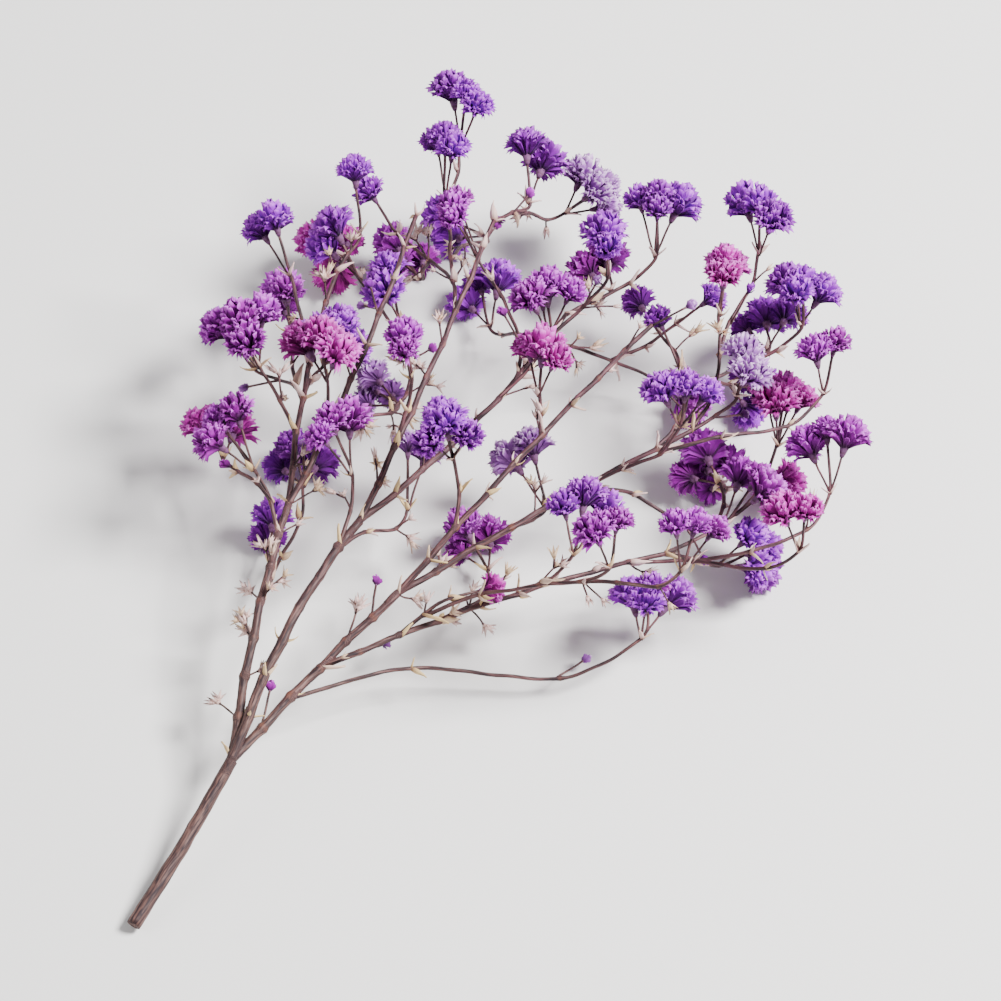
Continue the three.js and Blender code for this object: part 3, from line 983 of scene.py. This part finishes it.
def stemCurve(kind, draw):
    form = stemShape
    step, zigzag, wobble, slim, roundness = stemKinds[kind]
    curve = bpy.data.curves.new("stems" + kind.title(), "CURVE")
    curve.dimensions, curve.use_fill_caps = "3D", True
    curve.bevel_depth, curve.bevel_resolution = 1, roundness
    forked = {id(j["place"]) for j in joints if j["shoots"]}
    for stem in (s for s in stems if s["kind"] == kind):
        points = stem["points"]
        if stem.get("carrier") is not None:  # a limb starts inside the one that carries it
            points = [points[0] - stem["carrier"] * form["rooted"]] + points
        last = len(points) - 1
        side, other = across(unit(points[-1] - points[0]))
        calm = form["calm"] if stem["thick"] > form["boldest"] else 1
        bent = [p + side * (zigzag * calm * (-1) ** i * (0 < i < last)) for i, p in enumerate(points)]
        line, marks = smoothLine(bent, step)
        phase = draw(0, form["phase"])
        knots = []
        for i in range(1, last):
            share = 1 if id(points[i]) in forked else form["plainKnot"]
            knots.append((bent[i], draw(*form["knotSizes"]) * calm * share))
        spline = curve.splines.new("POLY")
        spline.points.add(len(line) - 1)
        travelled = 0
        for i, (p, mark) in enumerate(zip(line, marks)):
            travelled += span(p, line[i - 1]) if i else 0
            sway = wobble * sin(pi * mark / last)
            wave, otherWave = (travelled * turns for turns in form["waves"])
            p = p + side * (sway * sin(wave + phase)) + other * (
                sway * sin(otherWave + phase * form["otherPhase"]))
            plain = (stem["thick"] + (stem["thin"] - stem["thick"]) * mark / last) * slim
            radius, swell = plain, 0
            for knot, size in knots:
                near = span(p, knot) / max(form["knotReach"], plain * form["leastReach"])
                swell = max(swell, min(1, size) * exp(-form["swellReach"] * near * near))
                radius += form["knot"] * size * plain * exp(-near * near)
            if i == 0 and kind != "limb":
                radius = min(radius * form["collar"], stem["parent"] * form["collarMost"])
            ahead = unit(line[min(i + 1, len(line) - 1)] - line[max(i - 1, 0)])
            spine.append((inFrame(p), Vector(ahead), travelled + form["grainShift"] * phase, swell))
            spline.points[i].co = (*inFrame(p), 1)
            spline.points[i].radius = radius * millimetre * (1 + draw(-form["rough"], form["rough"]))
    makeActive(newObject(curve.name, curve))
    bpy.ops.object.convert(target="MESH")
    piece = bpy.context.object
    startEdit(piece)
    bpy.ops.mesh.select_all(action="SELECT")
    bpy.ops.mesh.remove_doubles(threshold=form["merge"])
    bpy.ops.mesh.normals_make_consistent(inside=False)
    endEdit()
    bpy.ops.object.shade_smooth()
    return piece


# short side stalks that end in one empty calyx or a few
twigs = {
    "count": 190, "stalk": (2.0, 5.5), "radius": 0.17, "size": (1.3, 2.5), "length": 2.5,
    "lean": (0.5, 1.1), "most": 2, "apart": 0.35, "clear": 0.5, "lowest": 1.5, "thickest": 0.8, "sag": 0.3,
    "together": (1, 4.4), "spread": (0.35, 0.95), "shortStalk": (0.5, 1.6), "overlap": 0.4, "lowestEnd": 1,
}


def growTwigs():
    form, draw, grown = twigs, draws("twigs"), []
    thin = [j for j in joints if j["radius"] < form["thickest"]]
    thick = form["radius"] / stemKinds["stalk"][3]
    for joint, direction, tip in sideStalks(thin, form, grown, draw):
        middle = joint["place"] * 0.5 + tip * 0.5 + at(0, 0, draw(-form["sag"], form["sag"]))
        addStalk([joint["place"], middle, tip], thick, joint["radius"])
        grown.append((tip, direction, draw(*form["size"])))
        together = floor(draw(*form["together"]))
        start = draw(0, 2 * pi)
        for k in range(1, together):
            way = leaning(direction, draw(*form["spread"]), start + 2 * pi * k / (together - 1))
            end = tip + way * draw(*form["shortStalk"])
            if end[2] > form["lowestEnd"]:
                addStalk([tip - direction * form["overlap"], end], thick, thick)
                grown.append((end, way, draw(*form["size"])))
    return grown


clawPlaces = growTwigs()
swayDraw = draws("sway")
spine = []  # places along the middles of all stems, which way they go and how far along
wood = joined([stemCurve(kind, swayDraw) for kind in stemKinds], "stemWood")


# the grain follows each stem: slow along it, quick round it
def layGrain(piece):
    tree = KDTree(len(spine))
    for i, sample in enumerate(spine):
        tree.insert(sample[0], i)
    tree.balance()
    values, swells = [], []
    for v in piece.data.vertices:
        place, ahead, travelled, swell = spine[tree.find(v.co)[1]]
        swells.append(swell)
        offset = (v.co - place) / millimetre
        beyond = offset.dot(ahead)
        offset -= ahead * beyond
        along = (travelled + beyond) * stemShape["grainSlow"]
        values.extend((offset.x, offset.y, offset.z + along))
    setValues(piece, "bark", "FLOAT_VECTOR", "vector", values)
    setValues(piece, "swell", "FLOAT", "value", swells)


layGrain(wood)
wood.data.materials.append(woodPaint)
wood.data.materials.append(cutPaint)

cutEnd = {"near": 0.0004, "bark": 0.00018, "wood": 0.00055, "pith": 0.00025}  # in metres


# the cut face at the foot of the thick stem: a paler ring of wood round the pith
def dressCut(piece):
    middle = inFrame(stems[0]["points"][0])
    startEdit(piece)
    bpy.ops.mesh.select_mode(type="FACE")
    shape = bmesh.from_edit_mesh(piece.data)
    for face in shape.faces:
        away = (face.calc_center_median() - middle).length
        face.select_set(away < cutEnd["near"] and len(face.verts) > 4)
    bmesh.update_edit_mesh(piece.data)
    piece.active_material_index = 1
    bpy.ops.mesh.inset(thickness=cutEnd["bark"])
    bpy.ops.object.material_slot_assign()
    bpy.ops.mesh.inset(thickness=cutEnd["wood"], depth=-cutEnd["pith"])
    bpy.ops.mesh.select_mode(type="VERT")
    endEdit()


dressCut(wood)
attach(wood, "root")
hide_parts("stem")
print("stems:", len(stems), "with", len(wood.data.polygons), "faces")

bractShape = {
    "columns": 2, "rows": 5, "widths": (0.2, 0.3, 0.29, 0.21, 0.1, 0.012),
    "cup": 0.14, "flatter": 0.6,  # how deep it is across, and how much of that is gone at its tip
    "curls": (0.34, 0.1, -0.12), "curlCurve": 2.2, "shorter": 0.3,  # one curl for each form
    "thickness": 0.02, "crumple": 0.032, "flatTo": 0.3, "roll": 0.3,
    "tone": (-0.3, 0.5), "paler": 150,  # yellow low down, pale that far out
}


# a papery blade one unit long, clasping at its foot, pointed and curled at its tip
def makeBract(number):
    form = bractShape
    rows = form["rows"]
    bract = newBlade("bract" + str(number), form["columns"], rows)
    pick(bract, lambda c: abs(c.x) > touching)
    move(0, 0, form["cup"])
    for j in range(rows + 1):
        v = j / rows
        setRow(bract, v, rows, form["widths"][j], 1 - form["flatter"] * v)
        lift = form["curls"][number] * v ** form["curlCurve"]
        move(0, -abs(lift) * form["shorter"], lift)
    crumple(bract, lambda c: c.y > form["flatTo"], form["crumple"], seeds["bractBlades"] + number)
    return finishForm(bract, bractPaint, form["thickness"])


bractForms = [makeBract(k) for k in range(len(bractShape["curls"]))]


# stands a bract on a stem, its inner face towards the way that the stem goes
def placeBract(foot, direction, heading, length, wide, draw):
    ahead, up = Vector(direction), Vector(unit(heading - direction * (heading @ direction)))
    place = Matrix.Translation(inFrame(foot)) @ turned(ahead.cross(up), ahead, up)
    size = Matrix.Diagonal((length * wide, length, length, 1)) @ Matrix.Scale(millimetre, 4)
    roll = Matrix.Rotation(draw(-bractShape["roll"], bractShape["roll"]), 4, "Y")
    form = oneOf(bractForms, draw)
    tone = draw(*bractShape["tone"]) + (foot[1] - firstFork[1]) / bractShape["paler"]
    return copyOf(form, "bract", place @ roll @ size, "petalTone", tone)


smallBracts = {
    "length": (1.8, 3.6), "lean": (0.4, 1.2), "missing": 0.1, "around": 3, "turn": 0.4, "forkRadius": 0.3,
    "sunk": 0.55, "lowest": 0.3, "wide": (0.9, 1.3), "pairWide": (0.85, 1.2),
    "thick": 0.55, "lost": 0.6,  # and the share of the thicker bare joints that have lost theirs
}


def dressJoints():
    form = smallBracts
    draw = draws("smallBracts")
    placed = []
    for bract in bracts:
        foot, way = bract["foot"], bract["tip"] - bract["foot"]
        length = sqrt(way @ way)
        wide = draw(*form["pairWide"])
        placed.append(placeBract(foot, way / length, bract["heading"], length, wide, draw))
    bare = [
        j for j in joints if not j["shoots"] and j["place"][1] > firstFork[1]
        and (draw(0, 1) > form["lost"] or j["radius"] < form["thick"])
    ]
    knots = [(j["place"], j["heading"], j["radius"]) for j in bare]
    knots += [(head["fork"], head["facing"], form["forkRadius"]) for head in heads]
    for place, heading, radius in knots:
        start = draw(0, 2 * pi)
        for k in range(form["around"]):
            lean, length, gone = draw(*form["lean"]), draw(*form["length"]), draw(0, 1)
            if gone < form["missing"]:
                continue
            turn = start + 2 * pi * k / form["around"] + draw(-form["turn"], form["turn"])
            direction = leaning(heading, lean, turn)
            foot = place + unit(direction - heading * (direction @ heading)) * radius * form["sunk"]
            if (foot + direction * length)[2] > form["lowest"]:
                wide = draw(*form["wide"])
                placed.append(placeBract(foot, direction, heading, length, wide, draw))
    return placed


placedBracts = dressJoints()
papery = joined(placedBracts, "bractPairs")
print("bracts:", len(placedBracts))

dried = {
    "budDyes": ("lilac", "purple", "violet", "purple"), "budWide": 1.25,
    "clawWide": 1.25, "clawVaried": (0.8, 1.1), "clawSunk": 0.15, "clawTone": (0.4, 1.1),
}
driedDraw = draws("dried")
parts = []
wide, high = budRule["radius"] * dried["budWide"] * millimetre, budRule["length"] / 2 * millimetre
for bud in buds:
    upright = bud["direction"]
    form = oneOf(budForms, driedDraw)
    middle = bud["tip"] + upright * (budRule["length"] / 2)
    place = standing(middle, upright, across(upright)[0], (wide, wide, high))
    colour = oneOf(dried["budDyes"], driedDraw)
    parts.append(copyOf(form, "bud", place, "bloomTone", driedDraw(0, 1)))
    parts[-1].data.materials[0] = petalPaints[colour]
closedBuds = joined(parts, "closedBuds")

parts = []
for tip, direction, size in clawPlaces:
    wide, form = size * dried["clawWide"] * millimetre, oneOf(claws, driedDraw)
    sides = [wide * driedDraw(*dried["clawVaried"]) for _ in range(2)]
    foot = tip - direction * dried["clawSunk"]
    place = standing(foot, direction, across(direction)[0], (*sides, wide))
    parts.append(copyOf(form, "claw", place, "petalTone", driedDraw(*dried["clawTone"])))
emptyCalyces = joined(parts, "emptyCalyces")
for piece in (papery, closedBuds, emptyCalyces):
    pressDown(piece)
    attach(piece, "root")
    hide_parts("stem")
for form in bloomForms + budForms + [cup] + claws + bractForms + sum(petals.values(), []):
    bpy.data.objects.remove(form)
print("buds:", len(buds), "empty calyces:", len(clawPlaces))

stage = {
    "floor": {
        "colour": (238, 236, 234), "size": 6, "grain": 60, "rough": 0.9, "shine": 0.5,
        "relief": 0.05, "depth": 0.0001,
    },
    "world": (0.95, 0.96, 1.0, 1), "worldStrength": 0.34, "aim": (0, 0.01, 0.01),
    "key": {"place": (0.42, 0.3, 0.7), "size": 0.3, "power": 24.0},
    "fill": {"place": (-0.6, -0.45, 0.6), "size": 0.7, "power": 3.5},
}
deselectAll()
look, paint = stage["floor"], Paint("paleFloor")
bpy.ops.mesh.primitive_plane_add(size=look["size"], location=(0, 0, 0))
ground = bpy.context.object
ground.name = "floor"
grain = paint.noise(paint.place(), look["grain"], detail=2)
ground.data.materials.append(paint.finish(look, linear(look["colour"]), grain))
ground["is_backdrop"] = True

world = bpy.data.worlds.new("studio")
bpy.context.scene.world = world
world.use_nodes = True
backdrop = next(n for n in world.node_tree.nodes if n.type == "BACKGROUND")
backdrop.inputs["Color"].default_value = stage["world"]
backdrop.inputs["Strength"].default_value = stage["worldStrength"]
for name in ("key", "fill"):
    look = stage[name]
    lamp = bpy.data.lights.new(name, "AREA")
    lamp.size, lamp.energy = look["size"], look["power"]
    light = newObject(name, lamp)
    light.location = look["place"]
    aim = Vector(stage["aim"]) - Vector(look["place"])
    light.rotation_euler = aim.to_track_quat("-Z", "Y").to_euler()

view = {
    "azimuth": 29.49, "elevation": 52.42, "roll": 5.14, "lens": 142, "sensor": 36,
    "place": (0.20758, -0.35114, 0.53694), "aside": 0.006, "lifted": 0.0095, "clip": (0.02, 20),
}
a, e, r = (radians(view[k]) for k in ("azimuth", "elevation", "roll"))
level = Vector((cos(a), sin(a), 0))
ahead = Vector((-sin(a) * cos(e), cos(a) * cos(e), -sin(e)))
above = level.cross(ahead)
right = level * cos(r) + above * sin(r)
upward = above * cos(r) - level * sin(r)
lens = bpy.data.cameras.new("camera")
lens.lens, lens.sensor_width = view["lens"], view["sensor"]
lens.clip_start, lens.clip_end = view["clip"]
camera = newObject("camera", lens)
stand = Vector(view["place"]) + right * view["aside"] + upward * view["lifted"]
camera.matrix_world = Matrix.Translation(stand) @ turned(right, upward, -ahead)
bpy.context.scene.camera = camera

boxes = {"solids": solidBox, "visual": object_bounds()}
{name: [list(corner) for corner in box] for name, box in boxes.items()}
print("object made")
